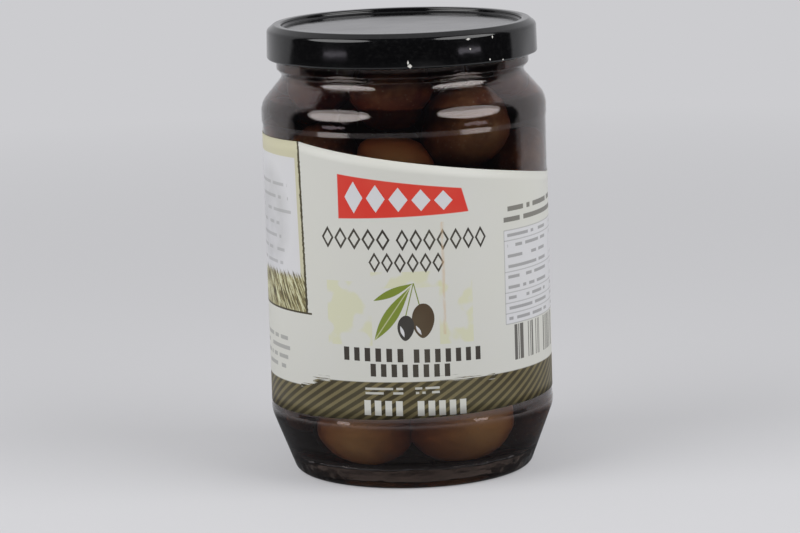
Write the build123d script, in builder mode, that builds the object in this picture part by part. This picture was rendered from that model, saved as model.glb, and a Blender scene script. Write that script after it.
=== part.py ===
# A shut glass jar of whole olives in brine: the jar, its twist-off lid, the brine that fills it
# and the paper label round it. Millimetres, +Z up. The origin is at the middle of the flat ring
# that the jar stands on. The front of the jar looks along -Y, and angles round the jar are
# counted from the front, positive towards +X.

import os
from math import atan2, cos, degrees, radians, sin, tan

from build123d import *

os.makedirs("parts", exist_ok=True)

# ---- jar: outside ----
body_radius = 45.0          # the two contact rings, the widest part
jar_height = 142.4          # ground to the top of the rim, under the lid
heel_height = 19.8          # where the heel reaches the body
heel_inset = 7.55           # how far the line of the heel comes in on its way to the ground
heel_corner = 8.0
foot_corner = 2.7           # rounding between the heel and the foot
foot_ring_width = 4.95      # foot corner to the push-up
push_up_height = 2.8        # how far the middle of the bottom is raised
push_up_slope = 30.0        # degrees from the vertical
push_up_corner = 3.0
lower_ring_height = 1.8     # contact ring between the heel and the label panel
upper_ring_height = 5.1     # contact ring between the label panel and the shoulder
panel_depth = 0.25          # the label panel lies in from the contact rings
lower_panel_step = 1.0      # height of the slanted step at the panel's lower end
upper_panel_step = 1.6      # and at its upper end, where it is gentler
step_corner = 0.6
shoulder_slope = 40.1       # degrees from the vertical
shoulder_corner = 6.5
neck_radius = 38.25         # the waist between the shoulder and the bead
neck_corner = 2.0
finish_height = 16.4        # rim down to where the line of the shoulder meets the waist
bead_radius = 39.8          # the finish that the lid goes over
bead_height = 13.5          # rim down to the lower end of its full radius
bead_flank = 1.7            # height of the slanted flank below
bead_corner = 1.0
rim_corner = 0.5
rim_depth = 1.9             # height of the wide part of the mouth
mouth_taper = 2.9           # height over which the mouth narrows to the bore

# ---- jar: inside ----
wall = 2.4
floor_height = 5.5          # inner floor at the foot of the wall
floor_crown = 1.2           # how much higher the floor is in the middle
floor_corner = 9.0

# ---- brine ----
headspace = 8.5             # rim down to its surface, hidden behind the lid

# ---- lid ----
sheet = 0.3                 # lacquered steel sheet
sunk_panel_radius = 37.8    # the middle panel is sunk inside the crest
sunk_panel_depth = 1.5
sunk_panel_corner = 0.8
sunk_panel_clearance = 0.2  # between its wall and the rim of the jar
crest_overhang = 0.5        # how far the level crest reaches past the finish
crest_corner = 0.8
lid_slope_width = 2.15      # the slanted ring outside the crest
lid_slope_drop = 1.7
knee_corner = 1.5
skirt_flare = 0.2           # how much wider the skirt is at its lower end
lid_height = 10.8           # crest to the lower edge of the curl
curl_radius = 0.8           # rolled edge
curl_turn = 250.0           # degrees that the edge is rolled inwards

# ---- label ----
paper = 0.15
label_skew = 1.4            # degrees: the label sits crooked, higher on the +X side
label_low_gap = 0.3         # its lowest corner to the lower end of the panel
label_high_gap = 0.1        # its highest corner to the upper end of the panel
label_seam = 8.0            # bare glass between its two ends, at the back
die_cut_drop = 6.3          # top of the tall end down to the sloping edge at the front
die_cut_fall = 0.15         # its fall for each millimetre round the jar, towards +X
die_cut_start = -50.0       # angle where the slope leaves the tall end
die_cut_end = 80.0          # angle where the slope ends in a level edge
die_cut_points = 9          # points along the slope

# ---- worked out ----
foot_radius = body_radius - heel_inset
heel_slope = atan2(heel_inset, heel_height)
foot_ring_outer = foot_radius - foot_corner * tan((radians(90) - heel_slope) / 2)
foot_ring_inner = foot_ring_outer + foot_corner - foot_ring_width
push_up_radius = foot_ring_inner - push_up_height * tan(radians(push_up_slope))
panel_radius = body_radius - panel_depth
label_radius = panel_radius + paper
neck_height = jar_height - finish_height
bead_low = jar_height - bead_height
bore_radius = neck_radius - wall
lid_top = jar_height + sheet
crest_outer = bead_radius + crest_overhang
skirt_top_radius = crest_outer + lid_slope_width
skirt_bottom_radius = skirt_top_radius + skirt_flare
rim_inner = sunk_panel_radius + sheet + sunk_panel_clearance


def shoulder_height(r):
    """Height at which the straight shoulder has come out to radius r."""
    return neck_height - (r - neck_radius) / tan(radians(shoulder_slope))


lower_ring_top = heel_height + lower_ring_height
upper_ring_bottom = shoulder_height(body_radius) - upper_ring_height
panel_low = lower_ring_top + lower_panel_step
panel_high = upper_ring_bottom - upper_panel_step
skew_rise = label_radius * tan(radians(label_skew))
label_low = panel_low + label_low_gap + skew_rise
label_high = panel_high - label_high_gap - skew_rise
die_cut_front = label_high - die_cut_drop


def die_cut_height(angle):
    """Height of the sloping upper edge at an angle from the front."""
    return die_cut_front - die_cut_fall * label_radius * radians(angle)


def round_the_axis(angle, radius):
    """A point at an angle from the front, on a level circle about the axis."""
    return radius * sin(radians(angle)), -radius * cos(radians(angle))


def corners(rows):
    """The points of some rows of (radius, height, rounding)."""
    return [(radius, height) for radius, height, rounding in rows]


def roundings(rows):
    """The roundings of the same rows."""
    return [rounding for radius, height, rounding in rows]


# Corner points (radius, height, rounding) of the outside, from the push-up to the rim.
outside = [
    (push_up_radius, push_up_height, push_up_corner),
    (foot_ring_inner, 0, foot_corner),
    (foot_radius, 0, foot_corner),
    (body_radius, heel_height, heel_corner),
    (body_radius, lower_ring_top, step_corner),
    (panel_radius, panel_low, step_corner),
    (panel_radius, panel_high, step_corner),
    (body_radius, upper_ring_bottom, step_corner),
    (body_radius, shoulder_height(body_radius), shoulder_corner),
    (neck_radius, neck_height, neck_corner),
    (neck_radius, bead_low - bead_flank, bead_corner),
    (bead_radius, bead_low, bead_corner),
    (bead_radius, jar_height, rim_corner),
]

# The mouth, wide at the rim and narrowing to the bore.
mouth = [
    (rim_inner, jar_height, rim_corner),
    (rim_inner, jar_height - rim_depth, rim_corner),
    (bore_radius, jar_height - rim_depth - mouth_taper, rim_corner),
]

# The cavity runs parallel to the outside, one wall further in, from the bore down to the floor.
inner_radius = body_radius - wall
inner_foot_radius = foot_radius - wall / cos(heel_slope)
shoulder_shift = wall / sin(radians(shoulder_slope))
cavity = [
    (bore_radius, shoulder_height(bore_radius) - shoulder_shift, neck_corner + wall),
    (inner_radius, shoulder_height(inner_radius) - shoulder_shift, shoulder_corner - wall),
    (inner_radius, (inner_radius - inner_foot_radius) / tan(heel_slope), heel_corner - wall),
    (inner_foot_radius + floor_height * tan(heel_slope), floor_height, floor_corner),
]
floor_middle = (0, floor_height + floor_crown)

# ---- the glass jar ----
with BuildPart() as jar:
    with BuildSketch(Plane.XZ) as jar_section:
        with BuildLine():
            glass = outside + mouth + cavity
            FilletPolyline((0, push_up_height), *corners(glass), floor_middle,
                           radius=roundings(glass))
            Line(floor_middle, (0, push_up_height))
        make_face()
    revolve(axis=Axis.Z)
jar.part.label = "jar"
export_step(jar.part, "parts/jar.step")

# ---- the brine, which fills the cavity up to its level ----
with BuildPart() as brine:
    with BuildSketch(Plane.XZ) as brine_section:
        with BuildLine():
            brine_level = jar_height - headspace
            surface_edge = (bore_radius, brine_level)
            FilletPolyline(surface_edge, *corners(cavity), floor_middle,
                           radius=roundings(cavity))
            Polyline(floor_middle, (0, brine_level), surface_edge)
        make_face()
    revolve(axis=Axis.Z)
brine.part.label = "brine"
export_step(brine.part, "parts/brine.step")

# ---- the lid: one sheet, from its sunk middle over the crest and down to the rolled edge ----
with BuildPart() as lid:
    with BuildSketch(Plane.XZ) as lid_section:
        with BuildLine():
            sunk_height = lid_top - sunk_panel_depth
            curl_height = lid_top - lid_height + curl_radius
            FilletPolyline(
                (0, sunk_height),
                (sunk_panel_radius, sunk_height),
                (sunk_panel_radius, lid_top),
                (crest_outer, lid_top),
                (skirt_top_radius, lid_top - lid_slope_drop),
                (skirt_bottom_radius, curl_height),
                radius=(sunk_panel_corner, crest_corner, crest_corner, knee_corner),
            )
            CenterArc((skirt_bottom_radius - curl_radius, curl_height), curl_radius,
                      0, -curl_turn)
            offset(amount=sheet, side=Side.RIGHT)
        make_face()
    revolve(axis=Axis.Z)
lid.part.label = "lid"
export_step(lid.part, "parts/lid.step")

# ---- the label: a sheet of paper round the panel, cut to its outline ----
label_arc = 360 - degrees(label_seam / label_radius)
trim = 2 * skew_rise        # spare paper above and below, cut away by the outline
skew_normal = (-sin(radians(label_skew)), 0, cos(radians(label_skew)))
slope_middle = (die_cut_start + die_cut_end) / 2
slope_span = die_cut_end - die_cut_start
slope_angles = [die_cut_start + slope_span * i / (die_cut_points - 1)
                for i in range(die_cut_points)]

with BuildPart() as label:
    # a plain band, open at the seam
    with BuildSketch(Plane.XZ.rotated((0, 0, 90 + (360 - label_arc) / 2))) as band_section:
        with Locations(((panel_radius + label_radius) / 2, (label_low + label_high) / 2)):
            Rectangle(paper, label_high - label_low + 2 * trim)
    revolve(axis=Axis.Z, revolution_arc=label_arc)

    # its crooked lower and upper edges
    split(bisect_by=Plane((0, 0, label_low), z_dir=skew_normal), keep=Keep.TOP)
    split(bisect_by=Plane((0, 0, label_high), z_dir=skew_normal), keep=Keep.BOTTOM)

    # the sloping edge, a straight line on the flat paper, cut from outside
    facing = Plane(
        (0, 0, 0),
        x_dir=(*round_the_axis(slope_middle + 90, 1), 0),
        z_dir=(*round_the_axis(slope_middle, 1), 0),
    )
    slope = [(label_radius * sin(radians(angle - slope_middle)), die_cut_height(angle))
             for angle in slope_angles]
    with BuildSketch(facing) as slope_cut:
        with BuildLine():
            Spline(*slope)
            Polyline(slope[-1], (slope[-1][0], label_high + trim),
                     (slope[0][0], label_high + trim), slope[0])
        make_face()
    extrude(amount=2 * label_radius, mode=Mode.SUBTRACT)

    # the level edge, from the end of the slope to the seam
    reach = 2 * label_radius
    level = die_cut_height(die_cut_end)
    with BuildSketch(Plane.XY.offset(level)) as level_cut:
        with BuildLine():
            Polyline((0, 0), round_the_axis(die_cut_end, reach), (reach, reach), (0, reach),
                     close=True)
        make_face()
    extrude(amount=label_high + trim - level, mode=Mode.SUBTRACT)
label.part.label = "label"
export_step(label.part, "parts/label.step")
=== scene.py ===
# A shut glass jar of whole olives in brine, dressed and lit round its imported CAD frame.
# Metres, +Z up. The origin is at the middle of the foot and the front of the label looks
# along -Y. Angles round the jar are counted from the front, positive towards +X.

import random
from math import atan2, cos, pi, radians, sin, sqrt, tan

import bmesh
import bpy
import numpy as np
from bpy.props import FloatProperty, FloatVectorProperty, IntProperty, PointerProperty
from mathutils import Matrix, Vector, noise


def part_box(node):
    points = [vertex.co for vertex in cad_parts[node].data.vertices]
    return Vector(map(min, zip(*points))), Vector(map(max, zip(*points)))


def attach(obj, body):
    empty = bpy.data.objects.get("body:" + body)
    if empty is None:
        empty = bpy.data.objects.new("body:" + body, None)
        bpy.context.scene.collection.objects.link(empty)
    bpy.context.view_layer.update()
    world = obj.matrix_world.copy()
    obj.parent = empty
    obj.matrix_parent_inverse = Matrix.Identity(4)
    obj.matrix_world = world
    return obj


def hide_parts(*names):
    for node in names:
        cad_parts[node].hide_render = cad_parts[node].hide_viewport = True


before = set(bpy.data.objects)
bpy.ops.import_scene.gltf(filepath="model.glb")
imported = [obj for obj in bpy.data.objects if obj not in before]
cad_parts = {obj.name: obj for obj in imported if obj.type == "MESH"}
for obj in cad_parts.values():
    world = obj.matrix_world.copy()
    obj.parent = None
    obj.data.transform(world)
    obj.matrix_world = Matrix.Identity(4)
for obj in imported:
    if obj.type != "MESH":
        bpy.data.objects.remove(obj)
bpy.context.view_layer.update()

bl_info = {
    "name": "Jar of olives",
    "version": (1, 0, 0),
    "blender": (4, 5, 0),
    "location": "View3D > Sidebar > Olive jar",
    "description": "Builds a shut glass jar of olives, its label, lid and studio",
    "category": "Add Mesh",
}

MM = 0.001
WELD = 0.001 * MM
JAR_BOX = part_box("jar")
LID_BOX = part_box("lid")
LABEL_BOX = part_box("label")
BRINE_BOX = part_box("brine")
BODY = "root"

BRINE_LEVEL = BRINE_BOX[1].z
LABEL_RADIUS = LABEL_BOX[1].x
RULE = 0.17          # half the width of a printed rule, in mm
WET_MIRROR = 0.04    # how much glass mirrors where the brine wets it


def srgb(red, green, blue):
    """A display colour, 0 to 255, as the linear colour that a shader takes."""
    shares = (red / 255, green / 255, blue / 255)
    return tuple(s / 12.92 if s <= 0.04045 else ((s + 0.055) / 1.055) ** 2.4 for s in shares)


def size(name, millimetres, description, low=0.0):
    """A length that a user may change, given in millimetres."""
    return FloatProperty(name=name, description=description, default=millimetres * MM,
                         min=low, unit="LENGTH", subtype="DISTANCE", precision=5)


def slope(name, angle, description):
    """An angle that a user may change, given in degrees."""
    return FloatProperty(name=name, description=description, default=radians(angle),
                         unit="ROTATION", subtype="ANGLE")


def amount(name, value, description):
    """A plain number that a user may change."""
    return FloatProperty(name=name, description=description, default=value, min=0.0)


def count(name, value, description, low, high):
    """A whole number that a user may change."""
    return IntProperty(name=name, description=description, default=value, min=low, max=high)


def colour(name, display, description):
    """A colour that a user may change, given as a display colour."""
    return FloatVectorProperty(name=name, description=description, default=srgb(*display),
                               size=3, min=0.0, max=1.0, subtype="COLOR")


# ---- what a user can change ----

class JarSizes(bpy.types.PropertyGroup):
    """The glass and what it holds"""

    body_radius: size("Body radius", JAR_BOX[1].x / MM, "Radius of the two contact rings")
    jar_height: size("Jar height", JAR_BOX[1].z / MM, "Foot to the top of the rim")
    wall: size("Wall", 2.4, "Thickness of the glass")
    heel_height: size("Heel height", 19.8, "Where the heel reaches the body")
    heel_inset: size("Heel inset", 7.55, "How far the heel comes in towards the foot")
    heel_corner: size("Heel corner", 8.0, "Rounding between heel and body")
    foot_corner: size("Foot corner", 2.7, "Rounding on both sides of the foot ring")
    foot_ring_width: size("Foot ring width", 4.95, "Foot corner to the raised bottom")
    push_up_height: size("Push-up height", 2.8, "How far the bottom is raised")
    push_up_slope: slope("Push-up slope", 30.0, "From the vertical")
    lower_ring_height: size("Lower ring height", 1.8, "Contact ring above the heel")
    upper_ring_height: size("Upper ring height", 5.1, "Contact ring below the shoulder")
    panel_depth: size("Panel depth", 0.25, "How far the label panel lies in")
    lower_step: size("Lower step", 1.0, "Height of the slanted step under the panel")
    upper_step: size("Upper step", 1.6, "Height of the slanted step above the panel")
    step_corner: size("Step corner", 0.6, "Rounding of those steps")
    shoulder_slope: slope("Shoulder slope", 40.1, "From the vertical")
    shoulder_corner: size("Shoulder corner", 6.5, "Rounding between body and shoulder")
    neck_radius: size("Neck radius", 38.25, "The waist above the shoulder")
    neck_corner: size("Neck corner", 2.0, "Rounding between shoulder and waist")
    finish_height: size("Finish height", 16.4, "Rim down to the foot of the waist")
    bead_radius: size("Bead radius", 39.8, "The finish that the lid goes over")
    bead_height: size("Bead height", 13.5, "Rim down to the lower end of the bead")
    bead_flank: size("Bead flank", 1.7, "Height of the slant under the bead")
    rim_corner: size("Rim corner", 0.5, "Rounding of the rim and the mouth")
    mouth_radius: size("Mouth radius", 38.3, "The wide part of the mouth")
    rim_depth: size("Rim depth", 1.9, "Height of the wide part of the mouth")
    mouth_taper: size("Mouth taper", 2.9, "Height over which the mouth narrows")
    floor_height: size("Floor height", 5.5, "Inner floor at the foot of the wall")
    floor_crown: size("Floor crown", 1.2, "How much higher the floor's middle is")
    floor_corner: size("Floor corner", 9.0, "Rounding between inner floor and wall")
    soak: size("Soak", 0.15, "How far the brine reaches into the glass, so no gap shows")
    around: count("Steps around", 256, "Faces round a turned piece", 24, 512)
    arc_steps: count("Arc steps", 5, "Faces along a rounding", 1, 12)


class LidSizes(bpy.types.PropertyGroup):
    """The twist-off lid"""

    sheet: size("Sheet", 0.3, "Thickness of the lacquered steel")
    sunk_panel_radius: size("Sunk panel radius", 37.8, "The middle, sunk inside the crest")
    sunk_panel_depth: size("Sunk panel depth", 1.5, "Crest down to the sunk middle")
    panel_dome: size("Panel dome", 0.35, "How far the vacuum draws the middle down")
    crest_radius: size("Crest radius", 40.3, "Outer edge of the level crest")
    crest_corner: size("Crest corner", 0.8, "Rounding of the crest and the sunk panel")
    slope_drop: size("Slope drop", 1.7, "Fall of the slanted ring outside the crest")
    knee_corner: size("Knee corner", 1.5, "Rounding between the slanted ring and the skirt")
    skirt_flare: size("Skirt flare", 0.2, "How much wider the skirt is at its lower end")
    curl_radius: size("Curl radius", 0.8, "Rolled lower edge")
    curl_turn: slope("Curl turn", 250.0, "How far the edge is rolled")
    lugs: count("Lugs", 6, "Places where the edge is pressed in to grip", 0, 12)
    lug_start: slope("First lug", 10.0, "Angle of the first lug from the front")
    lug_width: slope("Lug width", 13.0, "Half the width of a lug")
    lug_depth: size("Lug depth", 0.45, "How far the edge is pressed in")
    lug_height: size("Lug height", 3.2, "Height over which the skirt bends in")


class LabelSizes(bpy.types.PropertyGroup):
    """The paper label and the main places of its print"""

    paper: size("Paper", 0.1, "Thickness of the label")
    skew: slope("Skew", 1.4, "The label sits crooked, higher on the right")
    seam: size("Seam", 8.0, "Bare glass between its two ends, at the back")
    drop: size("Drop", 6.3, "Top of the tall end to the sloping edge at the front")
    fall: amount("Fall", 0.15, "Fall of the sloping edge along its run")
    slope_start: slope("Slope start", -50.0, "Where the sloping edge leaves the tall end")
    slope_end: slope("Slope end", 80.0, "Where the slope becomes a level edge")
    columns: count("Columns", 360, "Faces round the label", 60, 720)
    rows: count("Rows", 24, "Faces up the label", 2, 80)


class OliveSizes(bpy.types.PropertyGroup):
    """The olives"""

    half_length: size("Half length", 12.6, "Half the length of an average olive")
    half_width: size("Half width", 10.4, "Half the width of an average olive")
    clearance: size("Clearance", 0.3, "Olive to glass")
    squeeze: size("Squeeze", 1.5, "Overlap past which an olive is taken out again")
    unevenness: amount("Unevenness", 0.06, "Spread of their sizes")
    rings: count("Rings", 6, "Layers of olives", 2, 8)
    outer: count("Outer ring", 9, "Olives by the wall in a layer", 3, 12)
    inner: count("Inner ring", 3, "Olives round the axis in a layer", 0, 5)
    rounds: count("Settling rounds", 900, "Steps that push them apart", 1, 3000)
    thinning: count("Thinning", 75, "Rounds between taking olives out", 1, 3000)
    seed: count("Seed", 11, "Start of the random draws", 0, 9999)


class Colours(bpy.types.PropertyGroup):
    """Colours of the object"""

    glass_tint: colour("Glass tint", (186, 176, 170), "Colour of the light in thick glass")
    glass_density: amount("Glass density", 72.0, "Strength of that tint, a metre")
    brine: colour("Brine", (208, 118, 88), "Colour that the brine lets through")
    brine_density: amount("Brine density", 94.0, "Strength of that colour, a metre")
    olive_dark: colour("Dark olive", (100, 60, 50), "The ripest skin")
    olive_brown: colour("Brown olive", (164, 128, 84), "Most of the skin")
    olive_pale: colour("Pale olive", (228, 176, 114), "The lightest skin")
    olive_green: colour("Green olive", (170, 150, 84), "The least ripe skin")
    lacquer: colour("Lacquer", (8, 8, 9), "The lid")
    chip: colour("Chips", (214, 212, 206), "Bare spots on the lid")
    paper: colour("Paper", (201, 201, 196), "The label")
    ink: colour("Ink", (48, 41, 40), "Dark print")
    grey_ink: colour("Grey ink", (128, 128, 130), "Small print")
    banner: colour("Banner", (203, 44, 34), "The red field")
    band_dark: colour("Band, dark", (50, 41, 21), "Dark stripes of the band")
    band_light: colour("Band, light", (107, 97, 66), "Light stripes of the band")
    leaf: colour("Leaf", (112, 128, 38), "Leaves of the printed sprig")
    printed_brown: colour("Printed olive", (68, 50, 34), "The larger printed olive")
    printed_black: colour("Printed dark olive", (36, 30, 38), "The smaller printed olive")
    wash: colour("Wash", (200, 200, 166), "Pale blots behind the sprig")
    frame_beige: colour("Picture frame", (190, 186, 160), "Border of the side picture")
    picture: colour("Picture", (203, 203, 207), "Ground of the side picture")
    straw: colour("Straw", (136, 126, 84), "Foot of the side picture")
    stain: colour("Stain", (196, 170, 138), "Where brine ran down the paper")


class Studio(bpy.types.PropertyGroup):
    """The floor, the light and the camera"""

    floor_radius: size("Floor radius", 4000.0, "Radius of the floor")
    floor: colour("Floor", (208, 208, 211), "Colour of the floor")
    surround: colour("Surround", (204, 204, 207), "What lies behind the jar")
    gloom: FloatVectorProperty(name="Gloom", description="What the jar's front mirrors",
                               default=(0.02, 0.02, 0.022), subtype="COLOR")
    glow: FloatVectorProperty(name="Glow", description="Two patches that the lid mirrors",
                              default=(2.0, 1.9, 2.15), subtype="COLOR")
    soft: amount("Soft light", 0.36, "Even light from all round")
    lamp_power: amount("Lamp power", 6.2, "Power of each lamp, in watts")
    lamp_radius: size("Lamp radius", 420.0, "Half the width of each round lamp")
    lamp_distance: size("Lamp distance", 900.0, "Lamp to jar")
    lamp_angle: slope("Lamp angle", 60.0, "From the front, one lamp on each side")
    lamp_rise: slope("Lamp rise", 32.0, "Height of the lamps as an angle")
    distance: size("Camera distance", 1165.2, "Camera to the point that it looks at")
    rise: slope("Camera rise", 9.83, "How steeply the camera looks down")
    roll: slope("Camera roll", 1.77, "How far the camera leans")
    aside: size("Aim across", -2.7, "Place of the aim along X", low=-1.0)
    aim_height: size("Aim height", 63.98, "Height of the aim")
    lens: amount("Lens", 164.7, "Focal length in millimetres")


GROUPS = {
    "jar_sizes": JarSizes,
    "lid_sizes": LidSizes,
    "label_sizes": LabelSizes,
    "olive_sizes": OliveSizes,
    "jar_colours": Colours,
    "jar_studio": Studio,
}


# ---- shaders written as expressions ----

class Signal:
    """A shader socket that takes part in Python arithmetic by adding Math nodes."""

    def __init__(self, tree, socket):
        self.tree = tree
        self.socket = socket

    def maths(self, operation, *values, clamp=False):
        """Any other Math node, with this signal first."""
        node = self.tree.nodes.new("ShaderNodeMath")
        node.operation = operation
        node.use_clamp = clamp
        for socket, value in zip(node.inputs, (self, *values)):
            feed(self.tree, socket, value)
        return Signal(self.tree, node.outputs[0])

    def __add__(self, other):
        return self.maths("ADD", other)

    def __sub__(self, other):
        return self.maths("SUBTRACT", other)

    def __rsub__(self, other):
        return self.maths("MULTIPLY_ADD", -1.0, other)

    def __mul__(self, other):
        return self.maths("MULTIPLY", other)

    def __truediv__(self, other):
        return self.maths("DIVIDE", other)

    def __pow__(self, other):
        return self.maths("POWER", other)

    def __abs__(self):
        return self.maths("ABSOLUTE")

    def __gt__(self, other):
        return self.maths("GREATER_THAN", other)

    def __lt__(self, other):
        return self.maths("LESS_THAN", other)

    __radd__ = __add__
    __rmul__ = __mul__

    def past(self, edge, blur):
        """0 before the edge and 1 after it, blurred over a width."""
        return self.maths("MULTIPLY_ADD", 1 / blur, 0.5 - edge / blur, clamp=True)

    def within(self, low, high):
        """1 between two edges and 0 outside them."""
        return self.maths("COMPARE", (low + high) / 2, (high - low) / 2)

    def plus(self, factor, other):
        """This signal times a factor, plus another."""
        return self.maths("MULTIPLY_ADD", factor, other)


def feed(tree, socket, value):
    """Links a signal to a socket, or sets the socket's own value."""
    if isinstance(value, Signal):
        tree.links.new(value.socket, socket)
    else:
        socket.default_value = value


class Shader:
    """A node tree in the making, of a material or of the world."""

    def __init__(self, owner):
        owner.use_nodes = True
        self.owner = owner
        self.tree = owner.node_tree
        self.tree.nodes.clear()

    def node(self, kind, settings=None, sockets=None, out=0):
        """Any node: its settings, then the values or links of its sockets."""
        node = self.tree.nodes.new(kind)
        for name, value in (settings or {}).items():
            setattr(node, name, value)
        for name, value in (sockets or {}).items():
            feed(self.tree, node.inputs[name], value)
        return Signal(self.tree, node.outputs[out])

    def split(self, vector):
        """The three parts of a vector."""
        return [self.node("ShaderNodeSeparateXYZ", sockets={"Vector": vector}, out=part)
                for part in ("X", "Y", "Z")]

    def join(self, x, y, z=0.0):
        """A vector from three parts."""
        return self.node("ShaderNodeCombineXYZ", sockets={"X": x, "Y": y, "Z": z})

    def coordinates(self):
        """Place on the object, in metres."""
        return self.node("ShaderNodeTexCoord", out="Object")

    def noise(self, vector, scale, detail=2.0, roughness=0.5):
        """Smooth noise from 0 to 1."""
        return self.node("ShaderNodeTexNoise", {"noise_dimensions": "3D"}, {
            "Vector": vector, "Scale": scale, "Detail": detail, "Roughness": roughness})

    def chance(self, **sockets):
        """A random number from 0 to 1 for each place or number."""
        ways = "1D" if "W" in sockets else "2D"
        return self.node("ShaderNodeTexWhiteNoise", {"noise_dimensions": ways}, sockets,
                         out="Value")

    def absorption(self, tint, density):
        """Clear depth that takes a colour with the way through it."""
        depth = self.node("ShaderNodeVolumeAbsorption", sockets={
            "Color": opaque(tint), "Density": density})
        self.output(Volume=depth)

    def across(self, x, y):
        """Distance from the Z axis."""
        return (x * x + y * y).maths("SQRT")

    def mix(self, share, first, second):
        """A colour between two colours."""
        return self.node("ShaderNodeMix", {"data_type": "RGBA"}, {
            0: share, 6: opaque(first), 7: opaque(second)}, out=2)

    def bump(self, height, distance):
        """A surface normal from a height."""
        return self.node("ShaderNodeBump", sockets={
            "Height": height, "Distance": distance, "Strength": 1.0})

    def surface(self, **sockets):
        """The Principled shader of the material, its sockets named with underscores."""
        named = {name.replace("_", " "): value for name, value in sockets.items()}
        shader = self.node("ShaderNodeBsdfPrincipled", sockets=named)
        self.output(Surface=shader)
        return self.owner

    def output(self, **sockets):
        """Links the output node of the tree."""
        kind = "ShaderNodeOutputWorld"
        if isinstance(self.owner, bpy.types.Material):
            kind = "ShaderNodeOutputMaterial"
        found = [node for node in self.tree.nodes if node.bl_idname == kind]
        node = found[0] if found else self.tree.nodes.new(kind)
        for name, value in sockets.items():
            feed(self.tree, node.inputs[name], value)


def opaque(value):
    """A colour with its alpha, or the signal that stands for one."""
    return value if isinstance(value, Signal) else (*value, 1.0)


def new_shader(name):
    """An empty material to build on."""
    return Shader(bpy.data.materials.new(name))


# ---- meshes ----

def round_the_axis(angle, radius, height=0.0):
    """A point at an angle from the front."""
    return Vector((radius * sin(angle), -radius * cos(angle), height))


def draw_outline(bm, corners, steps):
    """A line through (radius, height, rounding) corners, with its corners rounded."""
    verts = [bm.verts.new((radius, 0.0, height)) for radius, height, rounding in corners]
    for pair in zip(verts, verts[1:]):
        bm.edges.new(pair)
    for before, here, after in zip(corners, corners[1:], corners[2:]):
        if here[2] == 0:
            continue
        way_in = Vector(here[:2]) - Vector(before[:2])
        way_out = Vector(after[:2]) - Vector(here[:2])
        reach = here[2] * tan(way_in.angle(way_out) / 2)
        vert = verts[corners.index(here)]
        bmesh.ops.bevel(bm, geom=[vert], offset=reach, offset_type="OFFSET", segments=steps,
                        profile=0.5, affect="VERTICES", material=-1)


def turn_outline(bm, around):
    """Spins everything drawn so far about the axis and closes the seam and the poles."""
    bmesh.ops.spin(bm, geom=bm.verts[:] + bm.edges[:], cent=(0, 0, 0), axis=(0, 0, 1),
                   angle=2 * pi, steps=around, use_merge=True)
    bmesh.ops.remove_doubles(bm, verts=bm.verts[:], dist=WELD)
    bmesh.ops.recalc_face_normals(bm, faces=bm.faces[:])


def finish_piece(bm, name, materials, replaced=()):
    """Makes a smooth object of a bmesh, on the jar's one body."""
    mesh = bpy.data.meshes.new(name)
    bm.to_mesh(mesh)
    bm.free()
    for material in materials:
        mesh.materials.append(material)
    mesh.shade_smooth()
    piece = bpy.data.objects.new(name, mesh)
    bpy.context.scene.collection.objects.link(piece)
    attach(piece, BODY)
    if replaced:
        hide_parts(*replaced)
    return piece


# ---- the glass and the brine ----

def shoulder_height(s, radius):
    """Height at which the straight shoulder has come out to a radius."""
    return s.jar_height - s.finish_height - (radius - s.neck_radius) / tan(s.shoulder_slope)


def panel_heights(s):
    """Lower and upper end of the sunk label panel."""
    low = s.heel_height + s.lower_ring_height + s.lower_step
    high = shoulder_height(s, s.body_radius) - s.upper_ring_height - s.upper_step
    return low, high


def outside_corners(s):
    """The outside of the jar, from the middle of its bottom to the rim."""
    heel_slope = atan2(s.heel_inset, s.heel_height)
    foot_radius = s.body_radius - s.heel_inset
    ring_outer = foot_radius - s.foot_corner * tan((pi / 2 - heel_slope) / 2)
    ring_inner = ring_outer + s.foot_corner - s.foot_ring_width
    push_up_radius = ring_inner - s.push_up_height * tan(s.push_up_slope)
    panel_radius = s.body_radius - s.panel_depth
    panel_low, panel_high = panel_heights(s)
    upper_ring = shoulder_height(s, s.body_radius)
    bead_low = s.jar_height - s.bead_height
    return [
        (0, s.push_up_height, 0),
        (push_up_radius, s.push_up_height, s.foot_corner),
        (ring_inner, 0, s.foot_corner),
        (foot_radius, 0, s.foot_corner),
        (s.body_radius, s.heel_height, s.heel_corner),
        (s.body_radius, panel_low - s.lower_step, s.step_corner),
        (panel_radius, panel_low, s.step_corner),
        (panel_radius, panel_high, s.step_corner),
        (s.body_radius, panel_high + s.upper_step, s.step_corner),
        (s.body_radius, upper_ring, s.shoulder_corner),
        (s.neck_radius, s.jar_height - s.finish_height, s.neck_corner),
        (s.neck_radius, bead_low - s.bead_flank, s.rim_corner),
        (s.bead_radius, bead_low, s.rim_corner),
        (s.bead_radius, s.jar_height, s.rim_corner),
    ]


def cavity_corners(s, soak=0.0):
    """The inside from the bore down to the floor, or a little way into the glass."""
    wall = s.wall - soak
    heel_slope = atan2(s.heel_inset, s.heel_height)
    shift = wall / sin(s.shoulder_slope)
    radius = s.body_radius - wall
    bore = s.neck_radius - wall
    foot = s.body_radius - s.heel_inset - wall / cos(heel_slope)
    floor = s.floor_height - soak
    return [
        (bore, shoulder_height(s, bore) - shift, s.neck_corner + wall),
        (radius, shoulder_height(s, radius) - shift, s.shoulder_corner - wall),
        (radius, (radius - foot) / tan(heel_slope), s.heel_corner - wall),
        (foot + floor * tan(heel_slope), floor, s.floor_corner),
        (0, floor + s.floor_crown, 0),
    ]


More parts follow.
